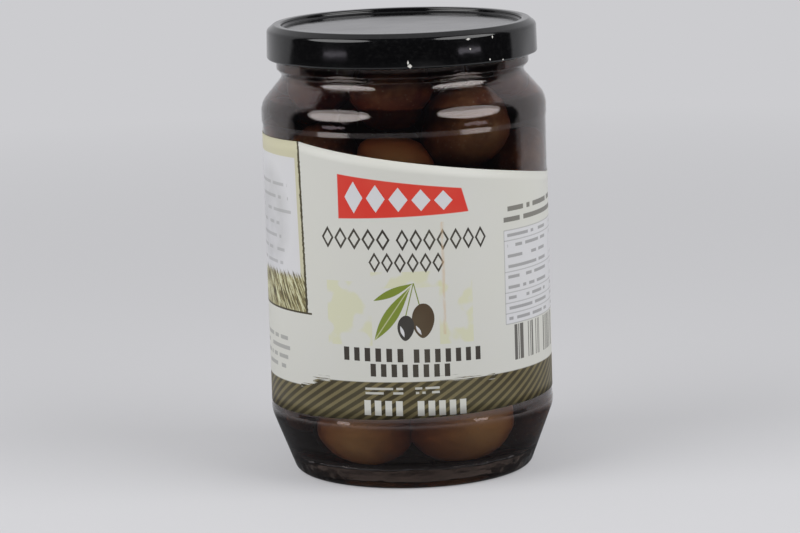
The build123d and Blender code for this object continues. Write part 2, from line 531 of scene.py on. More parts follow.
def make_glass(context):
    """The jar: one closed wall of glass."""
    s = context.scene.jar_sizes
    bore = s.neck_radius - s.wall
    mouth = [
        (s.mouth_radius, s.jar_height, s.rim_corner),
        (s.mouth_radius, s.jar_height - s.rim_depth, s.rim_corner),
        (bore, s.jar_height - s.rim_depth - s.mouth_taper, s.rim_corner),
    ]
    bm = bmesh.new()
    draw_outline(bm, outside_corners(s) + mouth + cavity_corners(s), s.arc_steps)
    turn_outline(bm, s.around)
    for face in bm.faces:
        middle = face.calc_center_median()
        inside = middle.xy.length < s.body_radius - s.wall * 0.9
        wet = s.floor_height * 0.9 < middle.z < BRINE_LEVEL
        inward = face.normal.xy.dot(middle.xy) < 0 or face.normal.z > 0.5
        if inside and wet and inward:
            face.material_index = 1
    materials = [clear_glass(context), wetted_glass()]
    return finish_piece(bm, "glass_jar", materials, ["jar"])


def glass_material(name, mirror):
    """Clear glass, a little uneven from its mould."""
    shader = new_shader(name)
    place = shader.coordinates()
    height = shader.split(place)[2]
    base = height.past(6 * MM, -3 * MM).maths("MULTIPLY_ADD", 10.0, 1.0)
    waves = (shader.noise(place, 85.0, 2.0) + shader.noise(place, 330.0) * 0.12) * base
    shader.surface(Base_Color=(1, 1, 1, 1), Roughness=0.0, IOR=1.5,
                   Transmission_Weight=1.0, Specular_IOR_Level=mirror,
                   Specular_Tint=(1.0, 0.88, 0.85, 1.0),
                   Normal=shader.bump(waves, 0.11 * MM))
    return shader


def clear_glass(context):
    """The outside of the jar, which also holds the tint of its depth."""
    c = context.scene.jar_colours
    shader = glass_material("clear_glass", 0.5)
    shader.absorption(c.glass_tint, c.glass_density)
    return shader.owner


def wetted_glass():
    """The inside under the brine. It hardly mirrors, and has no depth of its own, so that
    the tint is entered and left through the outside alone."""
    return glass_material("wetted_glass", WET_MIRROR).owner


def make_brine(context):
    """The brine, up to its level and just into the wall of the jar."""
    s = context.scene.jar_sizes
    edge = s.neck_radius - s.wall + s.soak
    surface = [(0, BRINE_LEVEL, 0), (edge, BRINE_LEVEL, 0)]
    bm = bmesh.new()
    draw_outline(bm, surface + cavity_corners(s, s.soak), s.arc_steps)
    turn_outline(bm, s.around)
    return finish_piece(bm, "brine_fill", [brine_material(context)], ["brine"])


def brine_material(context):
    """Dark brine: clear, and browner the deeper one looks."""
    c = context.scene.jar_colours
    shader = new_shader("olive_brine")
    shader.surface(Base_Color=(1, 1, 1, 1), Roughness=0.0, IOR=1.34,
                   Transmission_Weight=1.0, Specular_IOR_Level=WET_MIRROR)
    shader.absorption(c.brine, c.brine_density)
    return shader.owner


# ---- the olives ----

# slices of an olive: place up it and width there, as shares
SLICES = ((-0.75, 0.66), (-0.4, 0.92), (0.0, 1.0), (0.4, 0.92), (0.75, 0.66))

# the olives that show best
SHOWN = (
    # angle, height, in from the wall, size, tilt, tone
    (34.5, 110.8, 0.4, 1.14, 22.0, 0.9),
    (-5.0, 101.2, 0.7, 0.96, -35.0, -0.5),
    (-28.0, 17.6, 0.3, 1.16, 6.0, -1.0),
    (30.0, 18.0, 0.3, 1.28, 10.0, -0.95),
)


class Heap:
    """Olives, a row each: middle, half length, half width, long axis, tone, free to move."""

    def __init__(self, rows):
        self.table = np.array(rows)
        self.share_out()

    def share_out(self):
        """Names the columns of the table."""
        self.centres = self.table[:, 0:3]
        self.lengths = self.table[:, 3]
        self.widths = self.table[:, 4]
        self.axes = self.table[:, 5:8]
        self.tones = self.table[:, 8]
        self.free = self.table[:, 9]

    def thin(self, excess, most):
        """Takes out the free olive that is squeezed most, if it is squeezed too much."""
        squeezed = excess.max(axis=1) * self.free
        worst = squeezed.argmax()
        if squeezed[worst] > most:
            self.table = np.delete(self.table, worst, axis=0)
            self.share_out()

    def reach(self, along):
        """How far each one reaches, from the cosine between its axis and a way."""
        spread = along ** 2
        bound = np.sqrt(self.lengths[:, None] ** 2 * spread
                        + self.widths[:, None] ** 2 * (1 - spread))
        radius = 1 / np.sqrt(spread / self.lengths[:, None] ** 2
                             + (1 - spread) / self.widths[:, None] ** 2)
        return (bound + radius) / 2


def keep_in(s, o, heap):
    """Moves olives off the wall, the floor and the surface of the brine."""
    rise = heap.reach(heap.axes[:, 2:3])[:, 0]
    floor = s.floor_height + s.floor_crown + rise + o.clearance
    level = BRINE_LEVEL - 1.0 * MM - rise
    centres = heap.centres
    centres[:, 2] = np.clip(centres[:, 2], floor, level)
    across = np.maximum(np.hypot(centres[:, 0], centres[:, 1]), WELD)
    outward = centres[:, 0:2] / across[:, None]
    width = heap.reach((heap.axes[:, 0:2] * outward).sum(axis=1)[:, None])[:, 0]
    radii, heights, _ = zip(*reversed(cavity_corners(s)[:-1]))
    limit = np.full(len(centres), s.body_radius)
    for share, bulk in SLICES:
        wall = np.interp(centres[:, 2] + share * rise, heights, radii)
        limit = np.minimum(limit, wall - bulk * width)
    centres[:, 0:2] = outward * np.minimum(across, limit - o.clearance)[:, None]


def push_apart(heap):
    """Moves olives that overlap away from each other, and tells by how much they did."""
    gaps = heap.centres[None, :, :] - heap.centres[:, None, :]
    distances = np.linalg.norm(gaps, axis=2) + np.eye(len(gaps))
    ways = gaps / distances[:, :, None]
    reach = heap.reach((ways * heap.axes[:, None, :]).sum(axis=2))
    excess = np.maximum(reach + reach.T - distances, 0.0)
    np.fill_diagonal(excess, 0.0)
    pushes = (ways * excess[:, :, None]).sum(axis=1) * -0.5
    heap.centres += pushes * heap.free[:, None]
    return excess


def leaning(angle, tilt, inward=0.0):
    """A long axis along the wall, tilted up and turned inwards."""
    along = Vector((cos(angle), sin(angle), 0)) * cos(tilt) + Vector((0, 0, sin(tilt)))
    return (along + round_the_axis(angle, inward)).normalized()


def lay_out_olives(s, o):
    """All olives, the ones that show best first, pushed apart inside the jar."""
    draw = random.Random(o.seed)
    wall = s.body_radius - s.wall
    rows = []
    for angle, height, inset, scale, tilt, tone in SHOWN:
        turn = radians(angle)
        width = o.half_width * scale
        middle = round_the_axis(turn, wall - inset * MM - width, height * MM)
        axis = leaning(turn, radians(tilt))
        rows.append((*middle, o.half_length * scale, width, *axis, tone, 0))
    taken = [Vector(row[0:3]) for row in rows]
    low = s.floor_height + o.half_width
    high = BRINE_LEVEL - o.half_width
    for ring in range(o.rings):
        height = low + (high - low) * ring / (o.rings - 1)
        # painted shade: the top layer, up under the shoulder and the lid, is given darker skin
        painted_shade = 0.5 if ring == o.rings - 1 else 0.0
        for number, radius in ((o.outer, wall - o.half_width), (o.inner, o.half_width * 1.15)):
            start = draw.uniform(0, 2 * pi)
            for place in range(number):
                turn = start + 2 * pi * place / number
                scale = 1 + draw.uniform(-1, 1) * o.unevenness
                middle = round_the_axis(turn, radius, height + draw.uniform(-3, 3) * MM)
                axis = leaning(turn, draw.uniform(-0.9, 0.9), draw.uniform(-0.5, 0.5))
                if all((middle - other).length > o.half_width * 1.75 for other in taken):
                    tone = draw.uniform(0.35, 1.0) + painted_shade
                    rows.append((*middle, o.half_length * scale, o.half_width * scale,
                                 *axis, tone, 1))
    heap = Heap(rows)
    keep_in(s, o, heap)
    for settling in range(1, o.rounds + 1):
        excess = push_apart(heap)
        if settling % o.thinning == 0:
            heap.thin(excess, o.squeeze)
        keep_in(s, o, heap)
    return heap


def shape_olive(verts, centre, length, width, axis, seed):
    """Turns a unit ball into an olive: fuller at the stem, drawn out to a small tip."""
    turn = Vector((0, 0, 1)).rotation_difference(axis).to_matrix()
    shift = Vector((seed * 3.7, seed * 1.3, seed * 2.1))
    for vert in verts:
        ball = vert.co.copy()
        across = 1 + 0.07 * ball.z - 0.05 * ball.z ** 2
        lump = 1 + 0.035 * noise.noise(ball * 1.6 + shift)
        tip = 0.05 * max(0.0, -ball.z) ** 8
        dimple = 0.10 * max(0.0, ball.z - 0.86) / 0.14
        shaped = Vector((ball.x * across * lump * width,
                         ball.y * across * lump * width,
                         (ball.z * lump - tip - dimple) * length))
        vert.co = turn @ shaped * 0.98 + centre


def make_olives(context):
    """The olives sunk in the brine, as one piece."""
    s = context.scene.jar_sizes
    o = context.scene.olive_sizes
    heap = lay_out_olives(s, o)
    ball = bmesh.new()
    bmesh.ops.create_uvsphere(ball, u_segments=28, v_segments=18, radius=1.0)
    pattern = bpy.data.meshes.new("olive")
    ball.to_mesh(pattern)
    ball.free()
    bm = bmesh.new()
    tone = bm.verts.layers.float.new("tone")
    for number, centre in enumerate(heap.centres):
        start = len(bm.verts)
        bm.from_mesh(pattern)
        bm.verts.ensure_lookup_table()
        verts = bm.verts[start:]
        shape_olive(verts, Vector(centre), float(heap.lengths[number]),
                    float(heap.widths[number]), Vector(heap.axes[number]), number)
        for vert in verts:
            vert[tone] = heap.tones[number]
    bpy.data.meshes.remove(pattern)
    return finish_piece(bm, "olives", [olive_material(context)])


def olive_material(context):
    """Wet olive skin: brown mottled with green and near black, with fine pale pores."""
    c = context.scene.jar_colours
    shader = new_shader("olive_skin")
    place = shader.coordinates()
    tone = shader.node("ShaderNodeAttribute", {"attribute_name": "tone"}, out="Fac")
    patches = shader.noise(place, 70.0, 4.0, 0.6)
    ripe = (patches * 1.5 + tone * 0.7 - 0.75).maths("MULTIPLY", 1.0, clamp=True)
    skin = shader.mix(ripe, c.olive_brown, c.olive_dark)
    unripe = shader.noise(place, 38.0, 3.0).past(0.60, 0.16) * (1 - tone) * 0.7
    skin = shader.mix(unripe.maths("MINIMUM", 0.8), skin, c.olive_green)
    skin = shader.mix((tone * -1.0).maths("MAXIMUM", 0.0), skin, c.olive_pale)
    pores = shader.node("ShaderNodeTexVoronoi", {"feature": "F1"}, {
        "Vector": place, "Scale": 620.0}, out="Distance")
    pore = (1 - pores.past(0.16, 0.10)) * 0.35
    skin = shader.mix(pore, skin, srgb(168, 150, 118))
    normal = shader.bump(shader.noise(place, 260.0, 3.0), 0.25 * MM)
    return shader.surface(Base_Color=skin, Roughness=0.4, Specular_IOR_Level=0.08,
                          Normal=normal)


# ---- the lid ----

def make_lid(context):
    """The lid: one pressed sheet with a sunk middle, a skirt and a rolled edge."""
    s = context.scene.lid_sizes
    steps = context.scene.jar_sizes.arc_steps
    top = LID_BOX[1].z
    bottom = LID_BOX[0].z + s.curl_radius
    skirt = LID_BOX[1].x
    sunk = top - s.sunk_panel_depth
    flat = s.sunk_panel_radius
    corners = [
        (0, sunk - s.panel_dome, 0),
        (flat * 0.55, sunk - s.panel_dome, flat * 0.9),
        (flat * 0.93, sunk, s.crest_corner),
        (flat, sunk, s.crest_corner),
        (flat, top, s.crest_corner),
        (s.crest_radius, top, s.crest_corner),
        (skirt - s.skirt_flare, top - s.slope_drop, s.knee_corner),
        (skirt, bottom, 0),
    ]
    bm = bmesh.new()
    draw_outline(bm, corners, steps + 3)
    end = next(v for v in bm.verts if (v.co - Vector((skirt, 0, bottom))).length < WELD)
    bmesh.ops.spin(bm, geom=[end], cent=(skirt - s.curl_radius, 0, bottom), axis=(0, 1, 0),
                   angle=s.curl_turn, steps=14)
    turn_outline(bm, context.scene.jar_sizes.around)
    highest = max(bm.faces, key=lambda face: face.calc_center_median().z)
    if highest.normal.z < 0:
        bmesh.ops.reverse_faces(bm, faces=bm.faces[:])
    press_lugs(bm, s, bottom)
    bmesh.ops.solidify(bm, geom=bm.faces[:], thickness=s.sheet)
    return finish_piece(bm, "lid_shell", [lid_material(context)], ["lid"])


def press_lugs(bm, s, bottom):
    """Presses the lower edge of the skirt in at each lug."""
    for vert in bm.verts:
        down = (bottom + s.lug_height - vert.co.z) / s.lug_height
        across = vert.co.xy.length
        if down <= 0 or across < s.crest_radius or s.lugs == 0:
            continue
        angle = atan2(vert.co.x, -vert.co.y) - s.lug_start
        step = 2 * pi / s.lugs
        off = abs((angle + step / 2) % step - step / 2) / s.lug_width
        if off < 1:
            press = s.lug_depth * (0.5 + 0.5 * cos(pi * off)) * min(down, 1) ** 2
            vert.co.x *= 1 - press / across
            vert.co.y *= 1 - press / across


def lid_material(context):
    """Glossy black lacquer with a few chips at its edges and faint scuffs."""
    c = context.scene.jar_colours
    shader = new_shader("black_lacquer")
    place = shader.coordinates()
    x, y, z = shader.split(place)
    skirt = LID_BOX[1].x / MM
    round_mm = x.maths("ARCTAN2", y * -1.0) * skirt
    height_mm = z / MM
    ragged = shader.noise(place, 1500.0, 2.0)
    chips = [
        # angle in degrees, height in mm, half width, half height
        (3.0, 132.9, 0.8, 0.7),
        (2.2, 134.0, 0.28, 0.8),
        (28.4, 140.1, 0.8, 0.35),
        (29.2, 137.0, 0.28, 0.35),
        (40.8, 140.0, 0.3, 0.5),
        (39.0, 133.2, 0.3, 0.35),
        (46.5, 132.6, 0.4, 0.3),
        (151.0, 132.7, 0.7, 0.5),
        (-118.0, 140.1, 0.6, 0.3),
    ]
    nearest = None
    for turn, height, half_width, half_height in chips:
        middle = radians(turn) * skirt
        across = abs(round_mm.maths("MULTIPLY_ADD", 1 / half_width, -middle / half_width))
        up = abs(height_mm.maths("MULTIPLY_ADD", 1 / half_height, -height / half_height))
        far = across + up
        nearest = far if nearest is None else nearest.maths("MINIMUM", far)
    bare = 1 - ragged.plus(0.8, nearest).past(1.4, 0.25)
    scuff = shader.noise(place, 900.0, 6.0, 0.7).past(0.60, 0.2)
    paint = shader.mix(scuff * 0.012, c.lacquer, (0.5, 0.5, 0.5))
    skin = shader.mix(bare, paint, c.chip)
    smear = shader.noise(place, 55.0, 3.0)
    normal = shader.bump(shader.noise(place, 130.0, 2.0) - bare * 0.5, 0.05 * MM)
    return shader.surface(Base_Color=skin, Roughness=0.03 + 0.16 * smear + 0.5 * bare,
                          IOR=1.5, Normal=normal)


# ---- the label ----

def label_edges(context, angle):
    """Lower and upper edge of the label at an angle from the front."""
    s = context.scene.label_sizes
    skew = tan(s.skew)
    seam = s.seam / LABEL_RADIUS / 2
    lean = LABEL_RADIUS * sin(angle) * skew
    low = LABEL_BOX[0].z + LABEL_RADIUS * skew + lean
    tall = LABEL_BOX[1].z + LABEL_RADIUS * sin(seam) * skew
    if angle < s.slope_start:
        return low, tall + lean
    run = min(angle, s.slope_end) * LABEL_RADIUS
    return low, min(tall + lean, tall - s.drop - s.fall * run)


def make_label(context):
    """The label: a sheet of paper bent round the panel, with its print."""
    s = context.scene.label_sizes
    half_turn = pi - s.seam / LABEL_RADIUS / 2
    low, high = LABEL_BOX[0].z, LABEL_BOX[1].z
    bm = bmesh.new()
    bmesh.ops.create_grid(bm, x_segments=s.columns, y_segments=s.rows, size=0.5)
    unrolled = bm.loops.layers.uv.new("unrolled")
    for vert in bm.verts:
        angle = 2 * half_turn * vert.co.x
        bottom, top = label_edges(context, angle)
        height = bottom + (top - bottom) * (vert.co.y + 0.5)
        vert.co = Vector((angle, 0, height))
    for face in bm.faces:
        for loop in face.loops:
            angle, height = loop.vert.co.x, loop.vert.co.z
            loop[unrolled].uv = (0.5 + angle / (2 * pi), (height - low) / (high - low))
    for vert in bm.verts:
        vert.co = round_the_axis(vert.co.x, LABEL_RADIUS, vert.co.z)
    for face in bm.faces:
        face.normal_update()
    outward = bm.faces[:][0]
    if outward.normal.dot(outward.calc_center_median()) < 0:
        bmesh.ops.reverse_faces(bm, faces=bm.faces[:])
    label = finish_piece(bm, "paper_label", [label_material(context)],
                         ["label"])
    paper = label.modifiers.new("paper", "SOLIDIFY")
    paper.thickness = s.paper
    paper.offset = -1.0
    return label


class Print:
    """The label's print, drawn in millimetres round from the front and up from the foot."""

    def __init__(self, context):
        self.shader = new_shader("printed_paper")
        self.colours = context.scene.jar_colours
        uv = self.shader.node("ShaderNodeUVMap", {"uv_map": "unrolled"})
        u, v, _ = self.shader.split(uv)
        girth = 2 * pi * LABEL_RADIUS / MM
        low, high = LABEL_BOX[0].z / MM, LABEL_BOX[1].z / MM
        self.u = u.maths("MULTIPLY_ADD", girth, -girth / 2)
        self.v = v.maths("MULTIPLY_ADD", high - low, low)
        self.place = self.shader.join(self.u, self.v)
        self.skin = self.colours.paper

    def paint(self, share, ink):
        """Lays an ink over what is printed so far."""
        self.skin = self.shader.mix(share, self.skin, ink)

    def above(self, start, end, blur=0.25):
        """1 above the straight line through two points."""
        rise = (end[1] - start[1]) / (end[0] - start[0])
        return self.u.plus(-rise, self.v).past(start[1] - start[0] * rise, blur)

    def rightward(self, low, high, blur=0.25):
        """1 to the right of the line from a low point to a high one."""
        lean = (high[0] - low[0]) / (high[1] - low[1])
        return self.v.plus(-lean, self.u).past(low[0] - low[1] * lean, blur)

    def block(self, left, right, low, high):
        """A plain block."""
        return self.u.within(left, right) * self.v.within(low, high)

    def along_and_aside(self, start, end, half_width):
        """Shares of the way along a line, and aside of it in half widths."""
        run = Vector(end) - Vector(start)
        along_u, along_v = run / run.length_squared
        side_u, side_v = Vector((-run.y, run.x)) / run.length / half_width
        along = self.u.maths("MULTIPLY_ADD", along_u, -start[0] * along_u - start[1] * along_v)
        aside = self.u.maths("MULTIPLY_ADD", side_u, -start[0] * side_u - start[1] * side_v)
        return self.v.plus(along_v, along), self.v.plus(side_v, aside)

    def line(self, start, end, width):
        """A straight stroke from one point to another."""
        along, aside = self.along_and_aside(start, end, width / 2)
        return along.within(0.0, 1.0) * aside.within(-1.0, 1.0)

    def drop(self, top, tip, width, swell=1.0, round_ends=False):
        """A pointed oval from a top to a tip. A swell under 1 widens it near the top."""
        along, aside = self.along_and_aside(top, tip, width / 2)
        inside = along.maths("MULTIPLY", 1.0, clamp=True)
        profile = ((inside ** swell) * pi).maths("SINE")
        if round_ends:
            profile = profile ** 0.55
        return abs(aside) < profile

    def row(self, left, count, pitch, low, high, rise=0.0, taper=0.0):
        """Places in a row: along it in steps, height in half heights, and its extent."""
        steps = self.u.maths("MULTIPLY_ADD", 1 / pitch, -left / pitch)
        half = (high - low) / 2
        level = self.v
        if rise:
            level = self.u.plus(-rise, self.v)
        middle = low + half - left * rise
        height = level.maths("MULTIPLY_ADD", 1 / half, -middle / half)
        if taper:
            height = height * self.u.maths("MULTIPLY_ADD", taper, 1 - left * taper)
        return steps, height, self.u.within(left, left + count * pitch)

    def bars(self, left, count, pitch, low, high, rise, share):
        """A row of upright bars."""
        steps, height, extent = self.row(left, count, pitch, low, high, rise)
        bar = steps.maths("FRACT").within(0.5 - share / 2, 0.5 + share / 2)
        return bar * height.within(-1.0, 1.0) * extent

    def lozenges(self, left, count, pitch, low, high, rise, share, hollow=0.0, taper=0.0):
        """A row of lozenges, filled or as outlines, that may get smaller to the right."""
        steps, height, extent = self.row(left, count, pitch, low, high, rise, taper)
        aside = steps.maths("PINGPONG", 0.5)
        shape = aside.plus(-2 / share, abs(height))
        edge = 1 - 1 / share
        return shape.within(edge - 1 + hollow, edge) * extent

    def text(self, left, right, low, high, lines, word, seed, share=0.5, ragged=0.0):
        """Lines of small print as plain dashes with gaps."""
        pitch = (high - low) / lines
        rows = self.v.maths("MULTIPLY_ADD", 1 / pitch, -low / pitch)
        number = rows.maths("FLOOR") + seed
        dash = rows.maths("FRACT").within(0.5 - share / 2, 0.5 + share / 2)
        cell = (self.u * (1 / word)).maths("FLOOR")
        chance = self.shader.chance(Vector=self.shader.join(cell, number))
        words = dash * (chance > 0.22) * self.block(left, right, low, high)
        if ragged:
            words = words * (self.shader.chance(W=number).plus(ragged, self.u) < right)
        return words


def draw_band(p):
    """The striped band along the foot of the label, brushed out at its upper edge."""
    c = p.colours
    brush = p.shader.noise(p.shader.join(p.u * 0.05, p.v * 1.7), 1.0, 3.0, 0.7)
    ragged = p.u.within(-39.5, -27.0) + p.u.within(8.6, 27.4)
    crest = p.u.past(-34.0, 5.0).plus(-3.0, p.v) + ragged * (brush * 9.0 - 4.6)
    ground = 1 - crest.past(32.6, 0.3)
    wave = (p.u.plus(-0.62, p.v) * (2 * pi / 2.72)).maths("SINE")
    grain = p.shader.noise(p.place, 2.6, 3.0, 0.6)
    stripes = grain.plus(0.9, wave).past(0.62, 0.7)
    p.paint(ground, p.shader.mix(stripes, c.band_dark, c.band_light))
    gap = 1 - p.u.within(-2.9, 0.8)
    p.paint(p.bars(-15.9, 10, 3.34, 25.2, 29.9, -0.02, 0.62) * gap, c.paper)
    p.paint(p.text(-14.8, 8.4, 31.4, 34.2, 2, 1.0, 0.5) * gap * 0.8, c.paper)


def draw_banner(p):
    """The red field with a row of plain lozenges."""
    top_left, top_right = (-22.0, 100.2), (17.2, 95.0)
    foot_left, foot_right = (-22.1, 86.4), (19.4, 87.6)
    field = ((1 - p.above(top_left, top_right)) * p.above(foot_left, foot_right)
             * p.u.past(-22.0, 0.25) * (1 - p.rightward(foot_right, top_right)))
    p.paint(field, p.colours.banner)
    p.paint(p.lozenges(-20.2, 5, 7.0, 87.9, 98.6, -0.05, 0.84, taper=0.024), p.colours.picture)


def draw_title(p):
    """Rows of plain shapes in the places of the title and the subtitle."""
    ink = p.colours.ink
    rise = -0.024
    # left, number, pitch, low, high
    for row in ((-28.4, 5, 4.58, 77.1, 83.9), (-3.9, 7, 4.18, 76.5, 83.3),
                (-12.6, 6, 3.95, 69.9, 76.2)):
        p.paint(p.lozenges(*row, rise, 0.94, 0.64), ink)
    for row in ((-22.4, 6, 3.45, 42.3, 46.5), (-0.1, 7, 3.3, 41.6, 45.8),
                (-13.7, 8, 3.3, 37.4, 41.4)):
        p.paint(p.bars(*row, rise, 0.52), ink)


def draw_sprig(p):
    """A plain sprig with two leaves and two olives, over pale blots."""
    c = p.colours
    blot = p.shader.noise(p.place, 0.11, 2.0, 0.5)
    near = p.block(-27, -12, 47, 67) + p.block(9, 20, 47, 67) + p.block(-12, 10, 65, 70)
    p.paint(blot.past(0.50, 0.06) * near * 0.7, c.wash)
    stem = (1.2, 66.4)
    p.paint(p.line(stem, (3.0, 59.0), 0.32), c.leaf)
    p.paint(p.line(stem, (-1.6, 55.6), 0.32), c.leaf)
    p.paint(p.drop(stem, (-11.4, 61.0), 2.4, 1.1), c.leaf)
    leaf = p.drop((0.6, 65.8), (-11.4, 48.6), 4.2, 1.2)
    p.paint(leaf, c.leaf)
    p.paint(p.line((0.6, 65.8), (-11.4, 48.6), 0.35) * leaf * 0.6, c.wash)
    p.paint(p.drop((4.1, 60.0), (3.7, 49.2), 7.0, 0.85, True), c.printed_brown)
    p.paint(p.drop((-1.2, 56.4), (-1.8, 48.5), 5.2, 0.85, True), c.printed_black)
    p.paint(p.drop((-3.2, 53.2), (-2.0, 49.6), 1.0), c.picture)
    p.paint(p.drop((1.6, 53.2), (3.3, 50.2), 0.9), c.picture)


def ruled(signal, places):
    """1 on thin lines at some places along a signal."""
    lines = [signal.within(place - RULE, place + RULE) for place in places]
    return sum(lines[1:], lines[0])


def draw_table(p):
    """The ruled table, its lines of small print and the bars at the right."""
    c = p.colours
    left, column, right = 32.4, 62.0, 86.0
    top, foot = 79.9, 50.5
    line = (top - foot) / 9
    p.paint(p.text(left, 78.0, 81.6, 88.2, 2, 1.9, 20.5, 0.46) * 0.75, c.ink)
    rules = ruled(p.v, [foot + line * number for number in (0, 1, 2, 3, 5, 8, 9)])
    sides = ruled(p.u, [left, column, right])
    frame_lines = rules * p.u.within(left, right) + sides * p.v.within(foot, top)
    p.paint(p.block(left, right, foot, top), c.picture)
    p.paint(frame_lines * 0.5, c.grey_ink)
    gap = 1 - p.u.within(column - 5.0, column + 2.0)
    p.paint(p.text(left + 1.4, 72.0, foot, top, 9, 1.7, 30.5, 0.30) * gap * 0.75, c.grey_ink)
    stripes = p.shader.chance(W=(p.u * (1 / 0.42)).maths("FLOOR")) > 0.5
    p.paint(p.block(36.0, 64.0, 38.8, 50.0) * stripes * 0.85, c.ink)


def draw_side_picture(p):
    """The side picture: a beige frame round a pale field, with straw at its foot."""
    c = p.colours
    foot = 55.6
    lean = -1.7 / 53.4
    edge = p.v.plus(-lean, p.u)
    start = -35.5 - foot * lean
    inside = edge.within(-98.0, start) * (p.v > foot)
    p.paint(inside, c.frame_beige)
    field = edge.within(-95.0, start - 2.0) * p.v.within(foot, 104.0)
    p.paint(field, c.picture)
    pot = p.shader.join(p.u.maths("MULTIPLY_ADD", 1 / 13, 56 / 13),
                        p.v.maths("MULTIPLY_ADD", 1 / 17, -84 / 17))
    far = p.shader.node("ShaderNodeVectorMath", {"operation": "LENGTH"}, {0: pot}, out="Value")
    cloud = p.shader.noise(p.place, 0.16, 2.0)
    p.paint(field * (1 - far.past(0.9, 0.4)) * cloud * 0.45, c.grey_ink)
    small = p.text(-86.0, -41.0, 68.0, 97.0, 7, 1.9, 50.5, 0.24, 9.0)
    p.paint(small * 0.45, c.grey_ink)
    reeds = p.shader.noise(p.shader.join(p.v.plus(0.55, p.u), p.v * 0.16), 1.0, 4.0, 0.7)
    heap = inside * (1 - reeds.plus(8.0, p.v).past(71.0, 1.5))
    straw = p.shader.mix(reeds.past(0.53, 0.08), c.straw, c.wash)
    straw = p.shader.mix(reeds.past(0.45, -0.08) * 0.85, straw, c.band_dark)
    p.paint(heap, straw)
    rough = p.shader.noise(p.place, 0.9, 3.0)
    p.paint(rough.plus(0.8, edge).within(start - 0.05, start + 0.85) * (p.v > foot), c.band_dark)
    p.paint(p.block(-98.0, -33.4, foot - 0.3, foot + 0.3), c.band_dark)
    p.paint(p.text(-86.0, -42.0, 35.6, 47.8, 4, 1.6, 70.5, 0.42, 5.0) * 0.65, c.grey_ink)


def draw_wear(p):
    """The paper's own unevenness and the streak where brine ran down."""
    c = p.colours
    cloud = p.shader.noise(p.place, 0.035, 3.0)
    p.paint(cloud.past(0.55, 0.5) * 0.10, c.wash)
    run = p.shader.noise(p.shader.join(p.u * 0.6, p.v * 0.1), 1.0, 2.0)
    streak = 1 - abs(run.maths("MULTIPLY_ADD", 1.2, -11.2) + p.u).past(0.4, 0.5)
    broken = p.shader.noise(p.shader.join(p.u * 2.0, p.v * 0.5), 1.0, 2.0).past(0.38, 0.3)
    p.paint(streak * broken * p.v.within(50.0, 85.0) * 0.55, c.stain)


def label_material(context):
    """White coated paper with its print."""
    p = Print(context)
    draw_table(p)
    draw_side_picture(p)
    draw_sprig(p)
    draw_title(p)
    draw_banner(p)
    draw_band(p)
    draw_wear(p)
    fibres = p.shader.noise(p.place, 2.2, 3.0)
    normal = p.shader.bump(fibres, 0.01 * MM)
    return p.shader.surface(Base_Color=p.skin, Roughness=0.46, Specular_IOR_Level=0.3,
                            Normal=normal)


# ---- the studio ----

def make_floor(context):
    """A plain pale floor that turns into an even backdrop. To all but the camera it is dark
    in front of the jar, and round and under it carries a painted shadow, with two bright patches
    for the lid to mirror."""
    s = context.scene.jar_studio
    bm = bmesh.new()
    bmesh.ops.create_circle(bm, cap_ends=True, radius=s.floor_radius, segments=96)
    mesh = bpy.data.meshes.new("floor")
    bm.to_mesh(mesh)
    bm.free()
    floor = bpy.data.objects.new("floor", mesh)
    context.scene.collection.objects.link(floor)
    shader = new_shader("pale_floor")
    x, y, _ = shader.split(shader.coordinates())
    across = shader.across(x, y)
    matt = shader.node("ShaderNodeBsdfPrincipled", sockets={
        "Base Color": opaque(s.floor), "Roughness": 0.9, "Specular IOR Level": 0.1})
    backdrop = shader.node("ShaderNodeEmission", sockets={
        "Color": opaque(s.surround), "Strength": 1.0})
    patches = (abs(x) / across).within(0.74, 0.93) * across.within(1.04, 1.5)
    mirrored = shader.mix(patches, s.gloom, s.glow)
    dark = shader.node("ShaderNodeEmission", sockets={"Color": mirrored, "Strength": 1.0})
    far = across.past(0.50, 0.75).plus(0.62, 0.38)
    pale = shader.node("ShaderNodeMixShader", sockets={0: far, 1: matt, 2: backdrop})
    camera_ray = shader.node("ShaderNodeLightPath", out="Is Camera Ray")
    front = (y / across).past(0.26, -0.04) * across.past(0.40, 0.4)
    # painted shadow: round and under the jar the floor turns dark to all but the camera,
    # standing in for the jar's shadow seen through the glass
    under = across.past(0.095, -0.035) * 0.85
    unseen = front.maths("MAXIMUM", under) * (1 - camera_ray)
    shader.output(Surface=shader.node("ShaderNodeMixShader", sockets={
        0: unseen, 1: pale, 2: dark}))
    mesh.materials.append(shader.owner)


def make_world(context):
    """A pale room behind the jar and a dim one in front of it, pale all round to the eye."""
    s = context.scene.jar_studio
    world = bpy.data.worlds.new("studio")
    context.scene.world = world
    shader = Shader(world)
    way = shader.node("ShaderNodeTexCoord", out="Generated")
    x, y, _ = shader.split(way)
    across = shader.across(x, y).maths("MAXIMUM", 0.001)
    behind = (y / across).past(0.26, 0.02)
    room = shader.mix(behind, (0.03, 0.03, 0.035), s.surround)
    camera_ray = shader.node("ShaderNodeLightPath", out="Is Camera Ray")
    diffuse_ray = shader.node("ShaderNodeLightPath", out="Is Diffuse Ray")
    even = shader.mix(diffuse_ray, room, (s.soft, s.soft, s.soft))
    shade = shader.mix(camera_ray, even, s.surround)
    shader.output(Surface=shader.node("ShaderNodeBackground", sockets={
        "Color": shade, "Strength": 1.0}))


def aim_object(context, name, data, place, aim, roll=0.0):
    """Adds a lamp or camera at a place, looking at a point."""
    found = bpy.data.objects.new(name, data)
    turn = (aim - place).to_track_quat("-Z", "Y").to_matrix().to_4x4()
    found.matrix_world = Matrix.Translation(place) @ turn @ Matrix.Rotation(roll, 4, "Z")
    context.scene.collection.objects.link(found)
    return found


